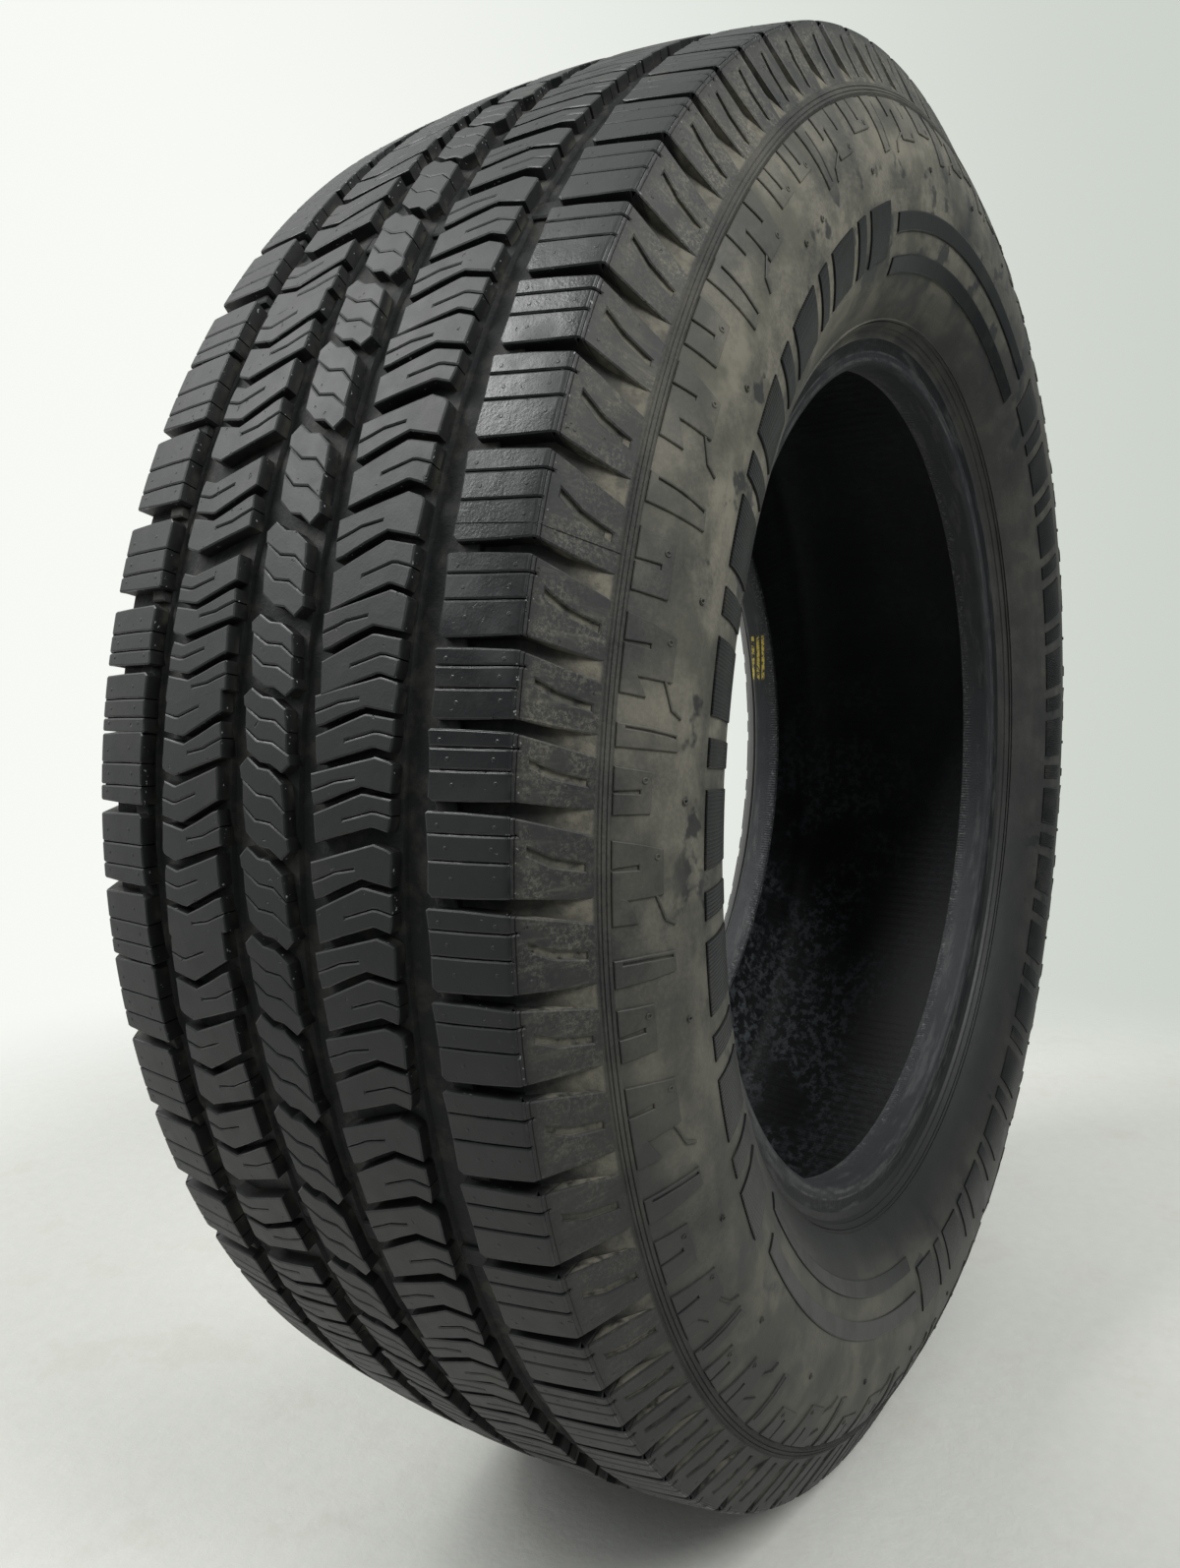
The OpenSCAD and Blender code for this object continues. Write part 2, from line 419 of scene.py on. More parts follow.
class Press:
    """Gathers flat blocks, bent onto the skin, in one mesh."""

    def __init__(self, skin: Skin) -> None:
        """Starts with an empty mesh.

        Args:
            skin: The surface onto which the blocks are bent.
        """
        self.skin = skin
        self.shape = bmesh.new()
        self.scratch = bpy.data.meshes.new("scratch")

    def put(self, flat: Mesh, start: float, turned: float | None = None) -> None:
        """Bends a copy of a flat block onto the skin.

        Args:
            flat: The block, which stays as it is.
            start: Angle at which its drawing starts, in radians.
            turned: Where given, the block is first turned half round, so that
                its drawing starts this far on and lies on the far side.
        """
        copy = flat.copy()
        for vert in copy.verts:
            spot = vert.co
            if turned is not None:
                spot = Vector((-spot.x, turned - spot.y, spot.z))
            vert.co = self.skin.bend(spot, start)
        copy.to_mesh(self.scratch)
        self.shape.from_mesh(self.scratch)
        copy.free()

    def piece(self, name: str, *finishes: Material) -> Piece:
        """Makes the gathered mesh a piece of the tyre and empties the scratch mesh."""
        bpy.data.meshes.remove(self.scratch)
        return make_piece(name, self.shape, finishes)


def make_piece(name: str, shape: Mesh, finishes: Iterable[Material]) -> Piece:
    """Turns a mesh into a piece that rides on the tyre's body.

    Args:
        name: The piece's name.
        shape: The mesh, which is used up.
        finishes: The materials in slot order.

    Returns:
        The new object.
    """
    bmesh.ops.recalc_face_normals(shape, faces=shape.faces[:])
    mesh = bpy.data.meshes.new(name)
    shape.to_mesh(mesh)
    shape.free()
    mesh.shade_smooth()
    mesh.set_sharp_from_angle(angle=SHARP_TURN)
    for finish in finishes:
        mesh.materials.append(finish)
    piece = add_object(name, mesh)
    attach(piece, BODY)
    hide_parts(NODE)
    triangles = sum(len(face.vertices) - 2 for face in mesh.polygons)
    LOG.info("%s: %d triangles", name, triangles)
    return piece


class Value:
    """A number in a shader, which Python arithmetic carries on."""

    def __init__(self, graph: "Nodes", socket: Socket) -> None:
        """Wraps a socket."""
        self.graph = graph
        self.socket = socket

    def math(self, operation: str, *terms: "Value | float") -> "Value":
        """Adds a Math node on these terms."""
        node = self.graph.node("ShaderNodeMath", {"operation": operation}, dict(enumerate(terms)))
        return Value(self.graph, node.outputs[0])

    def __add__(self, other: "Value | float") -> "Value":
        """Adds."""
        return self.math("ADD", self, other)

    __radd__ = __add__

    def __mul__(self, other: "Value | float") -> "Value":
        """Multiplies."""
        return self.math("MULTIPLY", self, other)

    __rmul__ = __mul__

    def __sub__(self, other: "Value | float") -> "Value":
        """Takes away."""
        return self.math("SUBTRACT", self, other)

    def __rsub__(self, other: "Value | float") -> "Value":
        """Takes this away from a number."""
        return self.math("SUBTRACT", other, self)

    def __truediv__(self, other: "Value | float") -> "Value":
        """Divides."""
        return self.math("DIVIDE", self, other)

    def root(self) -> "Value":
        """Gives the square root."""
        return self.math("SQRT", self)

    def size(self) -> "Value":
        """Gives the number without its sign."""
        return self.math("ABSOLUTE", self)

    def wave(self, count: float) -> "Value":
        """Gives the sine of this angle, taken a number of times."""
        return self.math("SINE", self * count)

    def most(self, other: "Value | float") -> "Value":
        """Gives the larger of two numbers."""
        return self.math("MAXIMUM", self, other)

    def rise(self, low: float, high: float) -> "Value":
        """Adds a smooth rise over this number.

        Args:
            low: Where it is 0, and beyond.
            high: Where it is 1, and beyond.

        Returns:
            The rise.
        """
        ends = {"Value": self, "From Min": low, "From Max": high}
        node = self.graph.node("ShaderNodeMapRange", {"interpolation_type": "SMOOTHSTEP"}, ends)
        return Value(self.graph, node.outputs["Result"])

    def window(self, low: float, high: float, soft: float) -> "Value":
        """Gives 1 between low and high, and 0 past a soft border."""
        return self.rise(low - soft, low) * (1 - self.rise(high, high + soft))


class Nodes:
    """A node tree, to which every node is added in one way."""

    def __init__(self, tree: bpy.types.NodeTree) -> None:
        """Empties the tree."""
        self.tree = tree
        self.tree.nodes.clear()

    def node(
        self,
        kind: str,
        settings: dict[str, object] | None = None,
        inputs: dict[str | int, object] | None = None,
    ) -> bpy.types.Node:
        """Adds a node.

        Args:
            kind: Blender's name for the node type.
            settings: Properties of the node, which are set first.
            inputs: Values or links for its sockets, by name or number.

        Returns:
            The new node.
        """
        node = self.tree.nodes.new(kind)
        for key, value in (settings or {}).items():
            setattr(node, key, value)
        for key, value in (inputs or {}).items():
            self.feed(node.inputs[key], value)
        return node

    def feed(self, target: Socket, value: object) -> None:
        """Links a value to a socket, or sets the socket to it.

        Args:
            target: The input socket.
            value: A shader number, a socket, a colour or a plain number.
        """
        if isinstance(value, Value):
            value = value.socket
        if isinstance(value, Socket):
            self.tree.links.new(value, target)
        elif isinstance(value, tuple) and len(value) == 3 and target.type == "RGBA":
            target.default_value = (*value, 1.0)
        else:
            target.default_value = value

    def split(self, vector: Socket) -> list[Value]:
        """Gives the three parts of a vector."""
        node = self.node("ShaderNodeSeparateXYZ", {}, {0: vector})
        return [Value(self, socket) for socket in node.outputs]

    def blend(self, factor: Value | float, one: object, two: object) -> Socket:
        """Mixes two colours."""
        node = self.node("ShaderNodeMix", {"data_type": "RGBA"}, {0: factor, 6: one, 7: two})
        return node.outputs[2]


class Graph(Nodes):
    """The node tree of one material."""

    skin_r = 300.0

    def __init__(self, name: str) -> None:
        """Makes the material with its shader and the tyre's own coordinates.

        Across and radius are in millimetres. Front and height are the cosine
        and the sine of the angle round the tyre.

        Args:
            name: The material's name.
        """
        self.material = bpy.data.materials.new(name)
        self.material.use_nodes = True
        super().__init__(self.material.node_tree)
        self.shader = self.node("ShaderNodeBsdfPrincipled")
        self.output = self.node("ShaderNodeOutputMaterial", {}, {"Surface": self.shader.outputs[0]})
        self.coordinates = self.node("ShaderNodeTexCoord").outputs["Object"]
        self.x, self.y, self.z = (part / MM for part in self.split(self.coordinates))
        self.across = self.y.size()
        self.radius = (self.x * self.x + self.z * self.z).root()
        self.front = self.x / self.radius
        self.height = self.z / self.radius
        self.angle = self.x.math("ARCTAN2", self.z, self.x)

    def noise(
        self,
        size: float,
        detail: float = 3.0,
        roughness: float = 0.55,
        where: Socket | None = None,
    ) -> Value:
        """Gives cloudy noise between 0 and 1.

        Args:
            size: Width of its blobs, in millimetres.
            detail: How many finer layers it has.
            roughness: How strong the finer layers are.
            where: Coordinates, if not the tyre's own.

        Returns:
            The noise.
        """
        place = {"Vector": where or self.coordinates, "Scale": 1 / (size * MM)}
        node = self.node("ShaderNodeTexNoise", {}, place | {"Detail": detail, "Roughness": roughness})
        return Value(self, node.outputs["Fac"])

    def stretched(self, round_by: float, across_by: float) -> Socket:
        """Gives coordinates that run round the tyre without a seam.

        Args:
            round_by: Stretch of a pattern round the tyre.
            across_by: Stretch of a pattern towards the axis.

        Returns:
            The vector socket.
        """
        turn = self.skin_r * MM / round_by
        flat = {"X": self.front * turn, "Y": self.height * turn}
        flat["Z"] = (self.radius + self.across) * (MM / across_by)
        return self.node("ShaderNodeCombineXYZ", {}, flat).outputs[0]

    def toned(self, colour: object, tone: Value) -> Socket:
        """Makes a colour darker or lighter."""
        node = self.node("ShaderNodeVectorMath", {"operation": "SCALE"}, {0: colour, "Scale": tone})
        return node.outputs[0]

    def relief(self, height: Value, strength: float = 1.0) -> None:
        """Gives the shader a relief whose height is in millimetres."""
        node = self.node("ShaderNodeBump", {}, {"Height": height, "Distance": MM, "Strength": strength})
        self.feed(self.shader.inputs["Normal"], node.outputs[0])

    def surface(self, colour: object, roughness: Value | float, gloss: float = 0.5) -> None:
        """Dresses the shader.

        Args:
            colour: Its colour.
            roughness: Its roughness.
            gloss: Its level of gloss, the same all over.
        """
        self.feed(self.shader.inputs["Base Color"], colour)
        self.feed(self.shader.inputs["Roughness"], roughness)
        self.shader.inputs["Specular IOR Level"].default_value = gloss


@dataclass(frozen=True)
class Grime:
    """Road dust that lies on rubber in clouds, smears and streaks."""

    pale: Colour = (0.168, 0.158, 0.122)
    brown: Colour = (0.087, 0.085, 0.066)

    def colour(self, graph: Graph) -> Socket:
        """Gives the dust's own colour, browner in places."""
        return graph.blend(graph.noise(26, 4).rise(0.4, 0.62), self.pale, self.brown)

    def cover(self, graph: Graph) -> Value:
        """Spreads the dust.

        Args:
            graph: The material's node tree.

        Returns:
            How thick the dust lies, from 0 to about 1.
        """
        clouds = graph.noise(60, 4).rise(0.36, 0.62)
        smears = graph.noise(16, 4, 0.6, graph.stretched(2.2, 0.7)).rise(0.38, 0.62)
        specks = graph.noise(1.5, 3, 0.7).rise(0.38, 0.62)
        return clouds * 0.42 + smears * 0.34 + specks * 0.22


@dataclass(frozen=True)
class TreadRubber:
    """Worn black rubber of the blocks, dusty down the buttress, with painted shade low down and in the
    grooves, and painted glints on edges.
    """

    section: Section
    grime: Grime = Grime()
    face: Colour = (0.0170, 0.0187, 0.0193)
    # Groove walls are darker than the faces: partly the faces' wear, partly painted shade in the
    # grooves.
    wall: Colour = (0.0085, 0.0090, 0.0090)
    # Colour of the pale painted glints on block edges and groove walls.
    drop: Colour = (0.34, 0.36, 0.36)

    def dusty_side(self, graph: Graph) -> Value:
        """Gives the buttress's dust, thicker towards the top of the tyre, partly as painted light from
        above.
        """
        return graph.height.rise(-0.75, 0.75) * 1.15 + 0.16

    def slots(self, graph: Graph) -> Value:
        """Finds the slots in the buttress.

        Args:
            graph: The material's node tree.

        Returns:
            1 on what lies deeper than the buttress's face.
        """
        (edge_at, edge_r), (out, down) = self.section.edge, self.section.down
        lift = (graph.radius - edge_r) * out - (graph.across - edge_at) * down
        return 1 - lift.rise(-1.1, -0.4)

    def make(self) -> Material:
        """Builds the material.

        Returns:
            The material.
        """
        graph = Graph("tread_rubber")
        section = self.section
        fall = section.crown_r - (section.crown_r**2 - graph.across * graph.across).root()
        depth = section.outer_r - fall - graph.radius
        shoulder = graph.across.rise(section.edge_at - 0.4, section.edge_at + 3.5)
        top = (1 - depth.rise(0.5, 1.6)).most(shoulder)
        tone = graph.noise(46, 4) * 0.6 + graph.noise(2.4, 2) * 0.3 + 0.54
        # Painted shade: the rubber is made darker towards the bottom of the tyre.
        tone = tone * (graph.height.rise(-0.75, 0.5) * 0.63 + 0.4)
        # Walls get the darker colour, which is partly painted shade in the grooves.
        rubber = graph.toned(graph.blend(top, self.wall, self.face), tone)
        cover = self.grime.cover(graph)
        upper = graph.noise(34, 5, 0.62).rise(0.52, 0.76) * 0.1
        lower = (depth.rise(1.8, 5.0) * (1 - shoulder)) * graph.noise(12, 3).rise(0.42, 0.7) * 0.3
        on_top = upper * (1 - shoulder) * top
        # Buttress dust that thickens towards the top: partly dust, partly painted light from above.
        buttress_dust_and_top_light = self.dusty_side(graph)
        streaks = graph.noise(5, 4, 0.7, graph.stretched(0.6, 2.6)).rise(0.5, 0.72)
        sunk = shoulder * self.slots(graph) * graph.noise(4, 3).rise(0.3, 0.55) * 0.6
        scuffs = graph.noise(1.3, 6, 0.8).rise(0.48, 0.58) * graph.noise(11, 3).rise(0.33, 0.58)
        dust_and_painted_light = on_top + lower + sunk
        dust_and_painted_light = dust_and_painted_light + shoulder * (cover * 0.2 + streaks * 0.34 + scuffs * 0.5) * buttress_dust_and_top_light
        colour = graph.blend(dust_and_painted_light, rubber, self.grime.colour(graph))
        # Painted highlights: pale glints on edges and walls, on the upper part of the tyre.
        painted_glints = graph.noise(1.3, 1).rise(0.715, 0.735) * depth.window(0.45, 2.8, 0.2)
        painted_glints = painted_glints * graph.height.rise(-0.45, 0.1) * (1 - shoulder)
        colour = graph.blend(painted_glints * 0.8, colour, self.drop)
        near = 1 - graph.y.rise(-1, 1)
        lit = graph.height.window(0.12, 0.56, 0.08) * (1 - graph.front.rise(-0.1, 0))
        row = graph.across.window(66.8, 95.4, 0.8)
        flush = 1 - depth.rise(0.08, 0.3)
        wet = near * lit * row * flush * graph.noise(24, 3, 0.5).rise(0.24, 0.6)
        worn = depth.window(0.28, 0.9, 0.12) * graph.noise(6, 3, 0.6).rise(0.42, 0.6) * (1 - wet)
        rough = 0.47 + graph.noise(9, 3) * 0.16 + dust_and_painted_light * 0.3 - wet * 0.28 - worn * 0.24
        graph.surface(colour, rough, 0.42)
        line = graph.across.window(section.edge_at + 0.35, section.edge_at + 0.85, 0.25)
        grain = graph.noise(0.9, 2) * 0.05 + graph.noise(7, 3, 0.6) * 0.12
        pooled = graph.noise(1.1, 2, 0.6) * 0.08 + graph.noise(13, 2) * 0.16
        nicks = graph.noise(3.2, 2, 0.5).rise(0.71, 0.77) * 0.4
        graph.relief(grain + wet * pooled - line * 0.8 - nicks)
        return graph.material


@dataclass(frozen=True)
class GrooveRubber:
    """Black groove floors and ridge band, with dust packed where the grooves run out and painted shade
    in their deep ends and lower down.
    """

    section: Section
    grime: Grime = Grime()
    floor: Colour = (0.0185, 0.0195, 0.0202)
    packed: Colour = (0.180, 0.168, 0.128)

    def make(self) -> Material:
        """Builds the material.

        Returns:
            The material.
        """
        graph = Graph("groove_rubber")
        out = graph.across.rise(self.section.edge_at - 6, self.section.edge_at + 6)
        band = graph.radius.rise(self.section.band_top[1] + 1.5, self.section.band_top[1])
        tone = graph.noise(30, 3) * 0.8 + 0.6
        rubber = graph.toned(self.floor, tone)
        patches = graph.noise(11, 4, 0.62).rise(0.46, 0.66) * 0.34
        dirty = graph.blend(patches, rubber, self.grime.brown)
        # Packed dust, thinned in the deep end of each run-out and towards the bottom of the tyre: partly
        # dust, partly painted shade.
        run_out_dust_and_shade = graph.across.rise(self.section.edge_at + 1, self.section.edge_at + 11) * 0.8 + 0.2
        run_out_dust_and_shade = run_out_dust_and_shade * (graph.height.rise(-0.9, 0.3) * 0.88 + 0.12)
        packed = out * run_out_dust_and_shade * (1 - band) * (graph.noise(5, 4, 0.65).rise(0.3, 0.66) * 0.5 + 0.34)
        colour = graph.blend(packed, dirty, self.packed)
        # Painted shade: the ridge band's rubber is darker towards the bottom of the tyre, and its dust
        # is thinner there.
        ridge = graph.toned(self.floor, tone * (graph.height.rise(-0.8, 0.3) * 0.8 + 0.7))
        thin = graph.height.rise(-0.8, 0.3) * 0.34 + 0.08
        dusty_ridge = graph.blend(self.grime.cover(graph) * thin, ridge, self.grime.pale)
        colour = graph.blend(band * out, colour, dusty_ridge)
        graph.surface(colour, 0.6 + graph.noise(6, 2) * 0.2, 0.22)
        graph.relief(graph.noise(1.4, 3) * 0.25 + graph.noise(5, 3) * 0.4)
        return graph.material


@dataclass(frozen=True)
class SidewallRubber:
    """Smooth side rubber under a film of khaki dust with dark smears, with painted shade: darker bare
    rubber and thinner dust lower down.
    """

    grime: Grime = Grime()
    bare: Colour = (0.0225, 0.0240, 0.0245)
    film: float = 1.22
    low_film_and_shade: float = 0.48

    def make(self, name: str = "sidewall_rubber") -> Material:
        """Builds the material.

        Args:
            name: The material's name.

        Returns:
            The material.
        """
        graph = Graph(name)
        tone = graph.noise(38, 4) * 0.6 + graph.noise(3, 2) * 0.3 + 0.55
        # Painted shade: the bare side rubber is darker towards the bottom of the tyre.
        rubber = graph.toned(self.bare, tone * (graph.height.rise(-0.8, 0.7) * 0.6 + 0.5))
        belt = graph.radius.window(262, 300, 14) * 0.6 + 0.25
        wiped = graph.noise(21, 4, 0.55).rise(0.575, 0.63) * belt
        high = graph.radius.rise(232, 290) * (1 - graph.radius.rise(312, 338) * 0.35)
        turned = 1 - graph.front.rise(-0.45, 0.6) * 0.66
        # Dust film thicker towards the top: partly dust, partly painted light from above.
        raised = graph.height.rise(-0.5, 0.7) * (self.film - self.low_film_and_shade) + self.low_film_and_shade
        film = self.grime.cover(graph) * 0.75 + 0.2
        upper = graph.height.rise(-0.6, 0.1)
        kept = upper + (1 - upper) * (graph.radius.window(266, 318, 22) * 0.85 + 0.15)
        cover = film * (1 - wiped) * (high * 0.5 + 0.5) * turned * raised * kept * 1.15
        colour = graph.blend(cover, rubber, self.grime.colour(graph))
        graph.surface(colour, 0.52 + cover * 0.3 - wiped * 0.08, 0.4)
        graph.relief(graph.noise(1.2, 2) * 0.06 + graph.noise(14, 3) * 0.3)
        return graph.material


@dataclass(frozen=True)
class MarkRubber:
    """Dark raised marks, ribbed finely all over."""

    grime: Grime = Grime()
    face: Colour = (0.0045, 0.0050, 0.0055)
    ribs: int = 1300

    def make(self, name: str = "mark_rubber", ribbed: bool = True) -> Material:
        """Builds the material.

        Args:
            name: The material's name.
            ribbed: Whether it has fine ribs across the way round.

        Returns:
            The material.
        """
        graph = Graph(name)
        rubber = graph.toned(self.face, graph.noise(25, 3) * 0.8 + 0.6)
        cover = graph.noise(18, 4, 0.62).rise(0.45, 0.75) * 0.1
        graph.surface(graph.blend(cover, rubber, self.grime.pale), 0.36 + cover * 1.2, 0.3)
        grain = graph.noise(1.5, 2) * 0.06
        if ribbed:
            grain = grain + graph.angle.wave(self.ribs).rise(-0.5, 0.5) * 0.4
        graph.relief(grain)
        return graph.material


@dataclass(frozen=True)
class BeadRubber:
    """Hard rubber of the bead, scuffed where the rim sat, with painted shade in its hollow and a painted
    sheen on its rings.
    """

    seat_r: float
    bare: Colour = (0.0155, 0.0168, 0.0188)
    scuff: Colour = (0.085, 0.086, 0.084)
    paint: Colour = (0.46, 0.36, 0.06)

    def make(self) -> Material:
        """Builds the material.

        Returns:
            The material.
        """
        graph = Graph("bead_rubber")
        rubber = graph.toned(self.bare, graph.noise(22, 3) * 0.8 + 0.6)
        toe = 1 - graph.across.rise(74, 79)
        specks = graph.noise(2.6, 4, 0.7).rise(0.55, 0.62)
        rubbed_and_sheen = graph.noise(12, 4, 0.65, graph.stretched(4, 0.5)).rise(0.5, 0.66) * 0.3
        above = graph.radius - self.seat_r
        # Painted shade in the hollow between the rim line and the bead.
        painted_hollow_shade = above.window(8.5, 14.5, 2.5) * 0.62
        rubber = graph.toned(rubber, 1 - painted_hollow_shade)
        worn = graph.noise(9, 4, 0.7, graph.stretched(3, 1)).rise(0.4, 0.6) * 0.5
        # Pale rings at the heel and the bead face: partly rubbing by the rim, partly painted sheen.
        rubbed_and_sheen = rubbed_and_sheen.most(above.window(3.2, 4.2, 0.8) * worn).most(above.window(7.0, 7.4, 0.5) * worn)
        colour = graph.blend((toe * specks * 0.8).most(rubbed_and_sheen), rubber, self.scuff)
        slant = graph.y + graph.angle * 26
        far = graph.y.rise(60, 61) * graph.angle.window(0.25, 0.4, 0.01)
        strokes = slant.window(86.4, 88.2, 0.5)
        for start in (90.4, 94.6):
            strokes = strokes.most(slant.window(start, start + 1.8, 0.5))
        far = far * strokes * graph.noise(3, 4, 0.7).rise(0.4, 0.56)
        graph.surface(graph.blend(far, colour, self.paint), 0.5 + graph.noise(7, 3) * 0.2, 0.34)
        graph.relief(graph.noise(1.8, 3, 0.7) * 0.3 + graph.angle.wave(720) * toe * 0.12)
        return graph.material


@dataclass(frozen=True)
class LinerRubber:
    """Near-black inner face with fine cross ribs, painted darker lower down, with bluish blotches
    painted as a speckled sheen.
    """

    bare: Colour = (0.022, 0.0236, 0.0260)
    painted_sheen: Colour = (0.075, 0.085, 0.092)

    def make(self) -> Material:
        """Builds the material.

        Returns:
            The material.
        """
        graph = Graph("liner_rubber")
        shade = graph.height.rise(-0.8, 0.4) * 0.75 + 0.3
        rubber = graph.toned(self.bare, (graph.noise(60, 3) * 0.8 + 0.6) * shade)
        # Painted sheen: bluish blotches, mostly low down on the far side.
        place = graph.height.rise(0.3, -0.3) * graph.y.rise(-10, 60) * 0.85 + 0.15
        sheen_blotches = graph.noise(6, 5, 0.7).rise(0.46, 0.6) * graph.noise(60, 3).rise(0.38, 0.58) * place
        graph.surface(graph.blend(sheen_blotches * 0.7, rubber, self.painted_sheen), 0.55 + sheen_blotches * 0.2, 0.2)
        ribs = graph.angle.wave(360).rise(-0.6, 0.6) * (graph.y.rise(-20, 40) * 0.12 + 0.06)
        graph.relief(ribs + graph.noise(3, 4, 0.65) * 0.4)
        return graph.material


class Zone(Enum):
    """Parts of the casing, each with its own finish, in slot order."""

    FLOOR = 0
    SIDE = 1
    BEAD = 2
    LINER = 3


@dataclass
class Casing:
    """The spun body: groove floors, sidewalls, beads and inner face."""

    section: Section
    skin: Skin
    finishes: dict[Zone, Material]
    steps: int = 300
    sink: float = 0.8
    shoulder_middle: float = 80.0
    rings: tuple[float, ...] = (103.2, 105.0)
    ring_w: float = 0.7
    side_steps: int = 34
    band_lift: float = 0.5
    band_lines: tuple[float, ...] = (1.5, 3.4)
    line_halves: Pair = (0.3, 0.1)
    line_lift: float = 0.1
    rim_steps: tuple[Pair, ...] = ((3.2, -0.8), (2.4, -1.3), (0.4, -1.5))
    bead_steps: tuple[Pair, ...] = ((1.8, 13.4), (1.4, 12.0), (0.3, 9.2))

    def floors(self) -> list[Pair]:
        """Gives the section of the groove floors, from the middle outwards.

        Returns:
            Distances across and radii, in order.
        """
        section = self.section
        lean, points = section.groove_lean, [section.crown(0.0, section.rib_cut_depth)]
        inner, outer = section.inner_groove, section.outer_groove
        depths = (section.rib_cut_depth, section.rib_cut_depth, section.shoulder_cut_depth)
        for (middle, width), before, after in zip((inner, outer), depths, depths[1:]):
            low, high = middle - width / 2, middle + width / 2
            points += [
                section.crown(low + lean / 4, before),
                section.crown(low + lean, section.groove_depth),
                section.crown(high - lean, section.groove_depth),
                section.crown(high - lean / 4, after),
            ]
        depth = section.shoulder_cut_depth
        points.append(section.crown(self.shoulder_middle, depth))
        points.append(section.crown(section.edge_at - depth / 2, depth))
        run_out = along(section.band_top, section.down, -0.5)
        middle = Vector(run_out).lerp(Vector(section.edge), 0.5)
        points.append(along(tuple(middle), section.down, 0.0, -section.buttress_cut_depth))
        return points + [run_out]

    def band(self) -> list[Pair]:
        """Gives the section of the band over the ridge line, with two fine lines.

        Returns:
            Distances across and radii, in order.
        """
        section, high, low = self.section, self.band_lift, self.line_lift
        wide, narrow = self.line_halves
        steps: list[Pair] = [(0.0, 0.0), (high, high)]
        for line in self.band_lines:
            steps += [(line - wide, high), (line - narrow, low)]
            steps += [(line + narrow, low), (line + wide, high)]
        steps += [(section.ridge_w - high, high), (section.ridge_w, 0.0)]
        return [along(section.band_top, section.down, way, lift) for way, lift in steps]

    def side(self) -> list[Pair]:
        """Gives the section of the sidewall with its fine rings.

        Returns:
            Distances across and radii, in order.
        """
        length = self.skin.rim_line - self.skin.ridge
        first, count = self.sink, self.side_steps
        plain = min(self.rings) - self.ring_w
        steps = [(first + (plain - first) * i / count, -self.sink) for i in range(count + 1)]
        for ring in self.rings:
            half = self.ring_w / 2
            steps += [(ring - half, -self.sink), (ring - half / 3, 0), (ring + half / 3, 0)]
            steps.append((ring + half, -self.sink))
        steps += [(length - back, lift) for back, lift in self.rim_steps]
        return [self.skin.lifted(self.skin.ridge + way, lift) for way, lift in steps]

    def bead(self) -> list[Pair]:
        """Gives the section of the bead, round its heel and toe.

        Returns:
            Distances across and radii, in order.
        """
        section = self.section
        seat, face, heel = section.seat_r, section.bead_face_at, section.heel_r
        centre = (face - heel, seat + heel)
        turns = [math.pi / 2 * i / 6 for i in range(1, 7)]
        toe = face - section.bead_w
        lift = section.toe_lift
        return [
            *((face + out, seat + up) for out, up in self.bead_steps),
            (face, seat + heel),
            *((centre[0] + heel * math.cos(t), centre[1] - heel * math.sin(t)) for t in turns),
            (face - heel - section.seat_w, seat),
            (toe + lift, seat + lift * 0.35),
            (toe + lift / 2, seat + lift / 2),
            (toe, seat + 1.5 * lift),
            (toe + lift / 3, seat + 2.4 * lift),
            (toe + lift, seat + 3 * lift),
        ]

    def inside(self) -> list[Pair]:
        """Gives the section of the inner face, from the bead to the crown.

        Returns:
            Distances across and radii, in order.
        """
        section = self.section
        toe = section.bead_face_at - section.bead_w
        low = (toe + 0.4 * section.bead_w, section.rim_line[1])
        middle = (section.ridge[1] + section.rim_line[1]) / 2
        wide = (section.half_w - section.side_wall, middle)
        wall = section.shoulder_wall
        high = (section.ridge[0] - 0.62 * wall, section.ridge[1])
        crown = (section.edge[0] - 0.35 * wall, section.edge[1] - wall)
        corner = ((high[0] + crown[0]) / 2 + 0.06 * wall, (high[1] + crown[1]) / 2 + 0.06 * wall)
        over = arc(crown, (0.0, section.outer_r - section.crown_wall), (-crown[0], crown[1]), 12)
        side = arc(low, wide, high, 20)
        return side + arc(high, corner, crown, 6)[1:-1] + over[:7]

    def build(self) -> Piece:
        """Spins the whole section round the axis and dresses its zones.

        Returns:
            The new piece.
        """
        half = [(spot, Zone.FLOOR) for spot in self.floors() + self.band()]
        half += [(spot, Zone.SIDE) for spot in self.side()]
        half += [(spot, Zone.BEAD) for spot in self.bead()]
        half += [(spot, Zone.LINER) for spot in self.inside()]
        mirrored = [((-a, r), zone) for (a, r), zone in reversed(half[1:-1])]
        shape = bmesh.new()
        layer = shape.verts.layers.int.new("zone")
        for (across, radius), zone in half + mirrored:
            vert = shape.verts.new((radius * MM, -across * MM, 0))
            vert[layer] = zone.value
        join(shape, shape.verts[:])
        turn = {"cent": (0, 0, 0), "axis": (0, 1, 0), "angle": math.tau, "steps": self.steps}
        bmesh.ops.spin(shape, geom=shape.verts[:] + shape.edges[:], **turn, use_merge=True)
        bmesh.ops.remove_doubles(shape, verts=shape.verts[:], dist=MERGE)
        for face in shape.faces:
            face.material_index = min(vert[layer] for vert in face.verts)
        return make_piece("casing", shape, [self.finishes[zone] for zone in Zone])


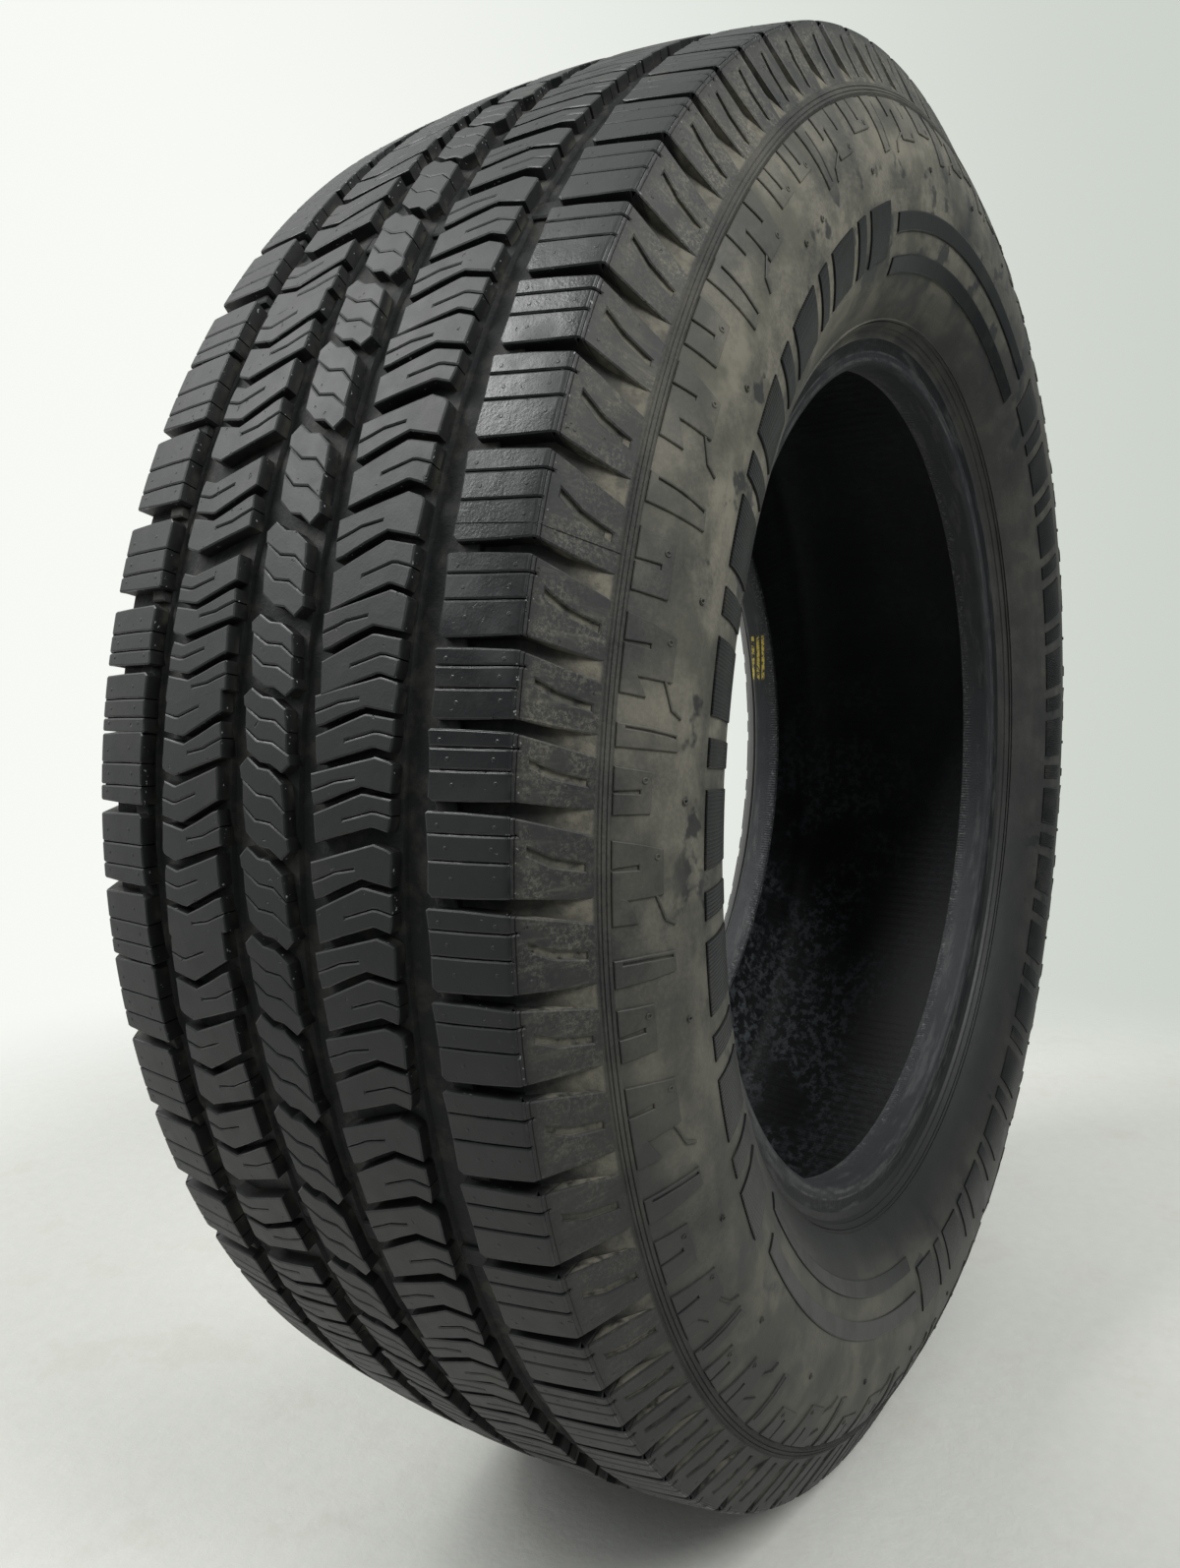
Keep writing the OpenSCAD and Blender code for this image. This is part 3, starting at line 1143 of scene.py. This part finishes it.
@dataclass
class Tread:
    """The blocks between the four straight grooves and on the shoulders."""

    skin: Skin
    pitches: Pitches
    finish: Material
    sipe: float = 0.5
    slot_depth: float = 1.3
    spot_r: float = 0.8
    spots: tuple[Pair, ...] = (
        (71.0, 0.2), (91.0, 0.19), (74.0, 0.43), (90.0, 0.41), (76.0, 0.74), (91.0, 0.7), (98.6, 0.8)
    )
    rib_foot: float = -6.0
    rib_shift: float = 0.7
    rib_lines: tuple[float, ...] = (30.0, 38.0, 46.0)
    shoulder_shares: Pair = (0.42, 0.74)
    shoulder_lines: tuple[float, ...] = (76.0, 86.0, 93.9, 94.8, 95.5, 95.9, 96.3, 103.0)

    def across(self, points: Iterable[Pair], length: float, shift: float = 0.0) -> list[Pair]:
        """Turns distances from the middle and pitch shares into millimetres."""
        return [
            (math.copysign(self.skin.from_middle(abs(a)), a), (share + shift) * length)
            for a, share in points
        ]

    def slit(self, points: Sequence[Pair], length: float) -> list[Pair]:
        """Gives the outline of a sipe that comes in at its first point.

        Args:
            points: Its middle line.
            length: The pitch's length.

        Returns:
            Both its sides, inwards and back.
        """
        half = self.sipe / 2 / length
        inward = [(a, share + half) for a, share in points]
        back = [(a, share - half) for a, share in reversed(points)]
        return inward + back

    def spot(self, across: float, share: float, length: float) -> Block:
        """Draws the small round stub that a mould vent leaves.

        Args:
            across: Its distance from the middle.
            share: Its place in the pitch.
            length: The pitch's length.

        Returns:
            The stub.
        """
        (way, start), *_ = self.across([(across, share)], length)
        outline = ring((way, start), self.spot_r, 6)
        return Block(outline, top=0.12, foot=-0.4, rim=0.25, round_off=0.14)

    def shoulder(self, length: float) -> list[Block]:
        """Draws the near shoulder block, which runs out down the buttress.

        Args:
            length: The pitch's length.

        Returns:
            The blocks of one pitch.
        """
        upper = self.slit([(67.2, 0.285), (80, 0.28), (97.0, 0.262)], length)
        lower = self.slit([(67.6, 0.562), (80, 0.556), (95.8, 0.54)], length)
        outline = [
            (66.5, 0.085), (67.4, 0.062), (80.0, 0.058), (95.5, 0.07), (102.5, 0.18),
            (109.3, 0.305), (109.3, 1.02), (102.5, 0.965), (96.0, 0.905), (82.0, 0.935),
            (69.0, 0.95), (67.3, 0.9), *lower, *upper,
        ]
        slot = [
            (98.5, 0.385), (102.5, 0.52), (107.8, 0.61), (107.8, 0.7), (102.2, 0.61), (98.5, 0.47),
        ]
        flat = self.across(outline, length)
        hole = self.across(slot, length)
        cross = [self.skin.from_middle(a) for a in self.shoulder_lines]
        long = [length * share for share in self.shoulder_shares]
        floor = Block(hole, top=-self.slot_depth, rim=0.05, round_off=0.02)
        stubs = [self.spot(across, share, length) for across, share in self.spots]
        return [Block(flat, [hole], cross_lines=cross, long_lines=long), floor, *stubs]

    def rib(self, length: float) -> list[Block]:
        """Draws the two arrow blocks of the rib on the near side.

        Args:
            length: The pitch's length.

        Returns:
            The blocks of one pitch.
        """
        left = [(21.5, 0.213), (26.9, 0.144), (31.2, 0.082), (39.4, 0.027)]
        right = [(54.0, 0.479), (48.1, 0.437), (46.2, 0.437), (35.1, 0.558)]
        first = [
            (21.1, 0.0), (34.0, -0.125), (47.2, -0.253), (52.6, -0.203), (54.1, -0.175),
            (54.5, -0.129), (53.9, 0.189), (42.2, 0.127), (34.0, 0.24), (25.6, 0.37), (22.5, 0.4),
            *self.slit(left, length),
        ]
        second = [
            (22.5, 0.516), (34.0, 0.34), (42.2, 0.218), (43.8, 0.218), (54.0, 0.268),
            *reversed(self.slit(right, length)), (53.6, 0.6), (52.8, 0.68), (47.2, 0.633),
            (45.9, 0.633), (34.0, 0.765), (23.4, 0.888),
        ]
        lines = [self.skin.from_middle(a) for a in self.rib_lines]
        shapes = (self.across(outline, length, self.rib_shift) for outline in (first, second))
        return [Block(shape, cross_lines=lines, foot=self.rib_foot) for shape in shapes]

    def centre(self, length: float) -> list[Block]:
        """Draws the three winding bars of the middle rib.

        Args:
            length: The pitch's length.

        Returns:
            The blocks of one pitch.
        """
        gap = 0.5 * self.sipe / length
        top = [(-11.9, -0.443), (-8.15, -0.557), (-2.7, -0.443), (2.3, -0.426), (8.5, -0.279)]
        cut = [(-11.2, -0.31), (-3.15, -0.154), (3.9, -0.131), (9.9, 0.023)]
        turned_cut = [(-a, -share) for a, share in reversed(cut)]
        upper = [*top, *((a, share - gap) for a, share in reversed(cut))]
        between = [
            *((a + (0.9 if a < -11 else 0), share + gap) for a, share in cut),
            *((a - (0.9 if a > 11 else 0), share - gap) for a, share in reversed(turned_cut)),
        ]
        lower = [(-a, -share) for a, share in upper]
        shapes = (self.across(bar, length, self.pitches.middle) for bar in (upper, between, lower))
        return [Block(shape, foot=self.rib_foot) for shape in shapes]

    def row(self, name: str, draw: Callable[[float], list[Block]], near: bool) -> Piece:
        """Presses one row of blocks all the way round.

        Args:
            name: The piece's name.
            draw: The method that draws one pitch of the row.
            near: Whether the row is on the near side or over the middle.

        Returns:
            The new piece.
        """
        press = Press(self.skin)
        drawn = {}
        for kind in Pitch:
            drawn[kind] = [block.build() for block in draw(self.pitches.length(kind))]
        for kind, start in self.pitches:
            turned = None if near else self.pitches.turned(kind)
            for block in drawn[kind]:
                press.put(block, start, turned)
        return press.piece(name, self.finish)

    def build(self) -> None:
        """Builds the five rows."""
        self.row("shoulder_near", self.shoulder, True)
        self.row("rib_near", self.rib, True)
        self.row("rib_middle", self.centre, True)
        self.row("rib_far", self.rib, False)
        self.row("shoulder_far", self.shoulder, False)


@dataclass
class GrooveBars:
    """Wear bars over the straight grooves and tie bars between shoulder blocks."""

    section: Section
    skin: Skin
    pitches: Pitches
    finish: Material
    places: tuple[float, ...] = (22.0, 82.0, 142.0, 202.0, 262.0, 322.0)
    wear_left: float = 1.6
    bar_length: float = 9.0
    bar_foot: float = -8.0
    overlap: float = 0.4
    tie: Pair = (67.6, 76.5)
    tie_half: float = 2.4
    tie_depth: float = 3.1
    tie_foot: float = -6.6

    def build(self) -> Piece:
        """Presses the bars into the grooves.

        Returns:
            The new piece.
        """
        press = Press(self.skin)
        top = self.wear_left - self.section.groove_depth
        for middle, width in (self.section.inner_groove, self.section.outer_groove):
            low, high = middle - width / 2 - self.overlap, middle + width / 2 + self.overlap
            outline = [(low, 0), (high, 0), (high, self.bar_length), (low, self.bar_length)]
            bar = Block(outline, top=top, foot=self.bar_foot, rim=0.8, round_off=0.5).build()
            for place in self.places:
                press.put(bar, math.radians(place))
                press.put(bar, math.radians(place), self.bar_length)
        low, high = (self.skin.from_middle(a) for a in self.tie)
        half, sizes = self.tie_half, {"top": -self.tie_depth, "foot": self.tie_foot}
        outline = [(low, -half), (high - 1, -half), (high, half), (low + half / 2, half)]
        bar = Block(outline, **sizes, rim=0.7, round_off=0.4).build()
        for kind, start in self.pitches:
            press.put(bar, start)
            press.put(bar, start, self.pitches.turned(kind))
        return press.piece("groove_bars", self.finish)


@dataclass
class SideMarks:
    """Moulded plates, fins, nubs and plain bars on one sidewall.

    Each set of marks takes three pitches. Ways are counted in millimetres
    from the ridge line towards the rim.
    """

    skin: Skin
    pitches: Pitches
    finish: Material
    dark: Material
    ribbed: Material
    near: bool
    first_set: int = 9
    foot: float = -1.6
    mark_lines: tuple[float, ...] = (8.0, 16.0, 24.0)
    cut_way: float = 4.0
    cut_turn: float = 1.5
    nub_r: float = 1.35
    dimple: float = 0.45
    band_arcs: tuple[Pair, ...] = ((60.0, 111.0), (216.0, 264.0))
    band_ways: tuple[Pair, ...] = ((52.0, 60.5), (71.0, 79.0))
    ladders: tuple[Pair, ...] = ((113.5, 214.0), (-94.0, 58.0))
    ladder_way: Pair = (46.0, 70.0)
    ladder_step: float = 10.4
    wide_plate: float = 5.4
    narrow_plate: Pair = (6.9, 8.9)

    def mark(self, outline: Sequence[Pair], length: float, *holes: Sequence[Pair]) -> Block:
        """Draws a flat mark whose points are a way from the ridge and a pitch share.

        Args:
            outline: Its points.
            length: The pitch's length.
            holes: The points of each slot through it.

        Returns:
            The mark.
        """
        rings = [
            [(self.skin.ridge + way, share * length) for way, share in ring]
            for ring in (outline, *holes)
        ]
        lines = [self.skin.ridge + way for way in self.mark_lines]
        return Block(rings[0], rings[1:], foot=self.foot, rim=0.35, round_off=0.22, cross_lines=lines)

    def nub(self, way: float, share: float, length: float, lift: float = 0.0) -> Block:
        """Draws a small round nub with a dimple.

        Args:
            way: Its way from the ridge.
            share: Its place in the pitch.
            length: The pitch's length.
            lift: How far it stands off the skin.

        Returns:
            The nub.
        """
        middle = (self.skin.ridge + way, share * length)
        outline, dimple = (ring(middle, self.nub_r * part, 10) for part in (1, self.dimple))
        return Block(outline, [dimple], top=lift, foot=-1.2, rim=0.25, round_off=0.15)

    def short_plate(self, length: float) -> list[Block]:
        """Draws the first pitch of a set: a short slotted plate.

        Args:
            length: The pitch's length.

        Returns:
            The marks of this pitch.
        """
        outline = [(0.8, 0.41), (15.5, 0.47), (15.5, 1.09), (0.8, 1.09)]
        slot = [(0.8, 0.79), (11.0, 0.8), (11.0, 0.735), (0.8, 0.755)]
        plate = self.mark([*outline, *slot], length)
        return [plate, self.nub(12.6, 0.6, length, 0.3), self.nub(32.0, 0.92, length)]

    def long_plate(self, length: float) -> list[Block]:
        """Draws the second pitch of a set: a long slotted plate and a crease.

        Args:
            length: The pitch's length.

        Returns:
            The marks of this pitch.
        """
        outline = [(0.8, 0.37), (11.0, 0.43), (21.5, 0.52), (21.5, 1.1), (0.8, 1.1)]
        slot = [(0.8, 0.735), (11.0, 0.745), (11.0, 0.68), (0.8, 0.7)]
        crease = [(18.0, 1.1), (19.0, 1.1), (22.8, 1.4), (27.4, 1.5), (27.2, 1.54), (22.2, 1.44)]
        plate = self.mark([*outline, *slot], length)
        return [plate, self.mark(crease, length), self.nub(18.6, 0.61, length, 0.3)]

    def fins(self, length: float) -> list[Block]:
        """Draws the third pitch of a set: a wedge and a long slotted fin.

        Args:
            length: The pitch's length.

        Returns:
            The marks of this pitch.
        """
        wedge = [(0.8, 0.06), (6.3, 0.07), (11.0, 0.4), (0.8, 0.38)]
        fin = [(0.8, 0.8), (14.0, 0.82), (26.0, 0.87), (26.8, 1.15), (0.8, 1.14)]
        slot = [(4.0, 0.84), (14.0, 0.865), (25.2, 0.915), (25.2, 0.955), (14.0, 0.9), (4.0, 0.875)]
        return [self.mark(wedge, length), self.mark(fin, length, slot)]

    def bar(self, ways: Pair, degrees: Pair, rim: float = 0.5) -> Block:
        """Draws a plain bar that runs some degrees round the tyre.

        Args:
            ways: Where it starts and ends, from the ridge.
            degrees: Where it starts and ends, round the tyre.
            rim: Width of its worn border.

        Returns:
            The bar.
        """
        scale = self.skin.section.outer_r
        low, high = (math.radians(turn) * scale for turn in degrees)
        one, two = (self.skin.ridge + way for way in ways)
        outline = [(one, low), (two, low), (two, high), (one, high)]
        step, way = math.radians(self.cut_turn) * scale, self.cut_way
        lines = [low + step * i for i in range(1, math.ceil((high - low) / step))]
        cross = [one + way * i for i in range(1, math.ceil((two - one) / way))]
        rounds = {"foot": self.foot, "rim": rim, "round_off": 0.2}
        return Block(outline, **rounds, long_lines=lines, cross_lines=cross)

    def press_bars(self, name: str, bars: Iterable[Block], finish: Material) -> None:
        """Presses bars that are drawn from angle 0 onto this side.

        Args:
            name: The piece's name.
            bars: The bars.
            finish: Their material.
        """
        press = Press(self.skin)
        for bar in bars:
            flat = bar.build()
            press.put(flat, 0.0, None if self.near else 0.0)
            flat.free()
        press.piece(name, finish)

    def ladder(self) -> Iterator[Block]:
        """Draws the row of finely ribbed plates, one wide and one narrow in turn.

        Yields:
            The plates.
        """
        for low, high in self.ladders:
            turn = low
            while turn + self.wide_plate < high:
                yield self.bar(self.ladder_way, (turn, turn + self.wide_plate))
                start, end = (turn + way for way in self.narrow_plate)
                if end < high:
                    yield self.bar(self.ladder_way, (start, end))
                turn += self.ladder_step

    def build(self) -> None:
        """Presses all the marks of this side."""
        side = "near" if self.near else "far"
        press = Press(self.skin)
        draw = (self.short_plate, self.long_plate, self.fins)
        for count, (kind, start) in enumerate(self.pitches):
            length = self.pitches.length(kind)
            turned = None if self.near else self.pitches.turned(kind)
            for block in draw[(count - self.first_set) % len(draw)](length):
                flat = block.build()
                press.put(flat, start, turned)
                flat.free()
        press.piece(f"side_marks_{side}", self.finish)
        arcs = (self.bar(ways, turns) for turns in self.band_arcs for ways in self.band_ways)
        self.press_bars(f"dark_bands_{side}", arcs, self.dark)
        self.press_bars(f"ribbed_plates_{side}", self.ladder(), self.ribbed)


@dataclass(frozen=True)
class MouldFlash:
    """Thin seam of rubber that the mould's joint left across the near shoulder."""

    skin: Skin
    finish: Material
    turn: float = 163.2
    width: float = 0.5
    ways: Pair = (68.0, 131.5)
    cuts: int = 16

    def build(self) -> Piece:
        """Presses the seam on.

        Returns:
            The new piece.
        """
        (low, high), count = self.ways, self.cuts
        outline = [(low, 0), (high, 0), (high, self.width), (low, self.width)]
        lines = [low + (high - low) * i / count for i in range(1, count)]
        seam = Block(outline, top=0.3, foot=-0.5, rim=0.12, round_off=0.1, cross_lines=lines)
        press = Press(self.skin)
        press.put(seam.build(), math.radians(self.turn))
        return press.piece("mould_seam", self.finish)


@dataclass(frozen=True)
class Stage:
    """Plain pale floor, soft lamps and the camera."""

    floor_z: float
    eye: tuple[float, float, float] = (-0.65623, -0.30674, 0.06185)
    look: tuple[float, float, float] = (0.84297562, 0.5294719, -0.09513999)
    lens: float = 27.91
    floor_r: float = 5.0
    fade: Pair = (600.0, 1150.0)
    concrete: Colour = (0.60, 0.605, 0.56)
    stain: Colour = (0.53, 0.51, 0.44)
    soft: Colour = (0.96, 0.985, 1.0)
    left_wall: Colour = (0.93, 0.95, 0.91)
    shaded_right_wall: Colour = (0.60, 0.645, 0.59)
    dim: Colour = (0.080, 0.093, 0.101)
    bright_way: Pair = (0.5, 0.866)
    lamps: tuple[tuple[str, tuple[float, float, float], float, float], ...] = (
        ("key", (-1.1, 1.1, 1.8), 1.0, 32.0),
        ("glint", (-1.2, 1.15, 1.05), 0.5, 8.0),
        ("front", (-0.4, -1.7, 1.8), 1.2, 48.0),
    )

    def floor(self) -> None:
        """Lays a disc of pale floor whose border fades into the backdrop."""
        shape = bmesh.new()
        bmesh.ops.create_circle(shape, cap_ends=True, segments=96, radius=self.floor_r)
        bmesh.ops.translate(shape, verts=shape.verts[:], vec=(0, 0, self.floor_z))
        mesh = bpy.data.meshes.new("floor")
        shape.to_mesh(mesh)
        shape.free()
        floor = add_object("floor", mesh)
        graph = Graph("pale_floor")
        reach = (graph.x * graph.x + graph.y * graph.y).root()
        tone = graph.noise(400, 4) * 0.16 + graph.noise(12, 4, 0.7) * 0.12 + 0.83
        stain = graph.noise(90, 6, 0.7).rise(0.52, 0.7) * 0.45
        colour = graph.blend(stain, graph.toned(self.concrete, tone), self.stain)
        graph.surface(colour, 0.7)
        graph.relief(graph.noise(9, 4, 0.65) * 0.5)
        clear = graph.node("ShaderNodeBsdfTransparent")
        ends = {0: reach.rise(*self.fade), 1: graph.shader.outputs[0], 2: clear.outputs[0]}
        mixed = graph.node("ShaderNodeMixShader", {}, ends)
        graph.feed(graph.output.inputs["Surface"], mixed.outputs[0])
        mesh.materials.append(graph.material)
        floor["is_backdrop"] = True

    def lamp(self, name: str, place: Sequence[float], size: float, power: float) -> None:
        """Hangs a square soft lamp that points at the tyre.

        Args:
            name: The lamp's name.
            place: Where it hangs, in metres.
            size: Its side.
            power: Its power in watts.
        """
        light = bpy.data.lights.new(name, "AREA")
        light.size = size
        light.energy = power
        lamp = add_object(name, light)
        lamp.location = place
        lamp.rotation_mode = "QUATERNION"
        lamp.rotation_quaternion = (-Vector(place)).to_track_quat("-Z", "Y")

    def room(self) -> None:
        """Gives soft light from above and pale walls, painted greyer to the right as light falloff,
        dimmer in reflections of the front.
        """
        world = bpy.data.worlds.new("studio")
        world.use_nodes = True
        bpy.context.scene.world = world
        nodes = Nodes(world.node_tree)
        x, y, z = nodes.split(nodes.node("ShaderNodeTexCoord").outputs["Generated"])
        light = {"Color": self.soft, "Strength": z.rise(-0.4, 0.95) * 0.7 + 0.07}
        soft = nodes.node("ShaderNodeBackground", {}, light)
        walls = (x * self.bright_way[0] + y * self.bright_way[1]).rise(0.02, 0.6)
        # Painted shade: the backdrop turns greyer towards the right.
        wall = nodes.blend(y.rise(0.05, 0.75), self.shaded_right_wall, self.left_wall)
        ray = nodes.node("ShaderNodeLightPath").outputs
        seen = Value(nodes, ray["Is Camera Ray"]).most(Value(nodes, ray["Is Transmission Ray"]))
        lit = walls.most(z.rise(0.3, 0.9) * 0.8).most(seen)
        backdrop = nodes.node("ShaderNodeBackground", {}, {"Color": nodes.blend(lit, self.dim, wall)})
        shown = seen.most(Value(nodes, ray["Is Glossy Ray"]))
        ends = {0: shown, 1: soft.outputs[0], 2: backdrop.outputs[0]}
        mixed = nodes.node("ShaderNodeMixShader", {}, ends)
        nodes.node("ShaderNodeOutputWorld", {}, {"Surface": mixed.outputs[0]})

    def camera(self) -> None:
        """Sets up the camera."""
        data = bpy.data.cameras.new("camera")
        data.sensor_fit = "AUTO"
        data.sensor_width = 36.0
        data.lens = self.lens
        data.clip_start = 0.01
        camera = add_object("camera", data)
        camera.location = self.eye
        camera.rotation_mode = "QUATERNION"
        camera.rotation_quaternion = Vector(self.look).to_track_quat("-Z", "Y")
        bpy.context.scene.camera = camera
        bpy.context.scene.view_settings.view_transform = "Standard"

    def build(self) -> None:
        """Builds the floor, the lamps, the backdrop and the camera."""
        self.floor()
        for name, place, size, power in self.lamps:
            self.lamp(name, place, size, power)
        self.room()
        self.camera()


def main() -> None:
    """Builds the tyre, its stage and its camera."""
    logging.basicConfig(level=logging.INFO, format="%(name)s: %(message)s")
    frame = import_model()
    low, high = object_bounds()
    bore = frame["record"]["mounts"][0]["dims"]["r_mm"]
    section = Section(outer_r=high.z / MM, seat_r=bore, half_w=high.y / MM, flat_z=low.z / MM)
    skin = Skin(section)
    pitches = Pitches(section.outer_r)
    tread, grooves = TreadRubber(section).make(), GrooveRubber(section).make()
    side = SidewallRubber().make()
    plates = SidewallRubber(film=0.85, low_film_and_shade=0.22).make("plate_rubber")
    dark = MarkRubber().make("dark_rubber", ribbed=False)
    ribbed = MarkRubber().make()
    finishes = {
        Zone.FLOOR: grooves,
        Zone.SIDE: side,
        Zone.BEAD: BeadRubber(bore).make(),
        Zone.LINER: LinerRubber().make(),
    }
    Casing(section, skin, finishes).build()
    Tread(skin, pitches, tread).build()
    GrooveBars(section, skin, pitches, grooves).build()
    MouldFlash(skin, tread).build()
    for near in (True, False):
        SideMarks(skin, pitches, plates, dark, ribbed, near).build()
    Stage(low.z - 0.2 * MM).build()
    sizes = {"cad": [list(low), list(high)], "visual": [list(end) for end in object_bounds()]}


if __name__ == "__main__":
    main()
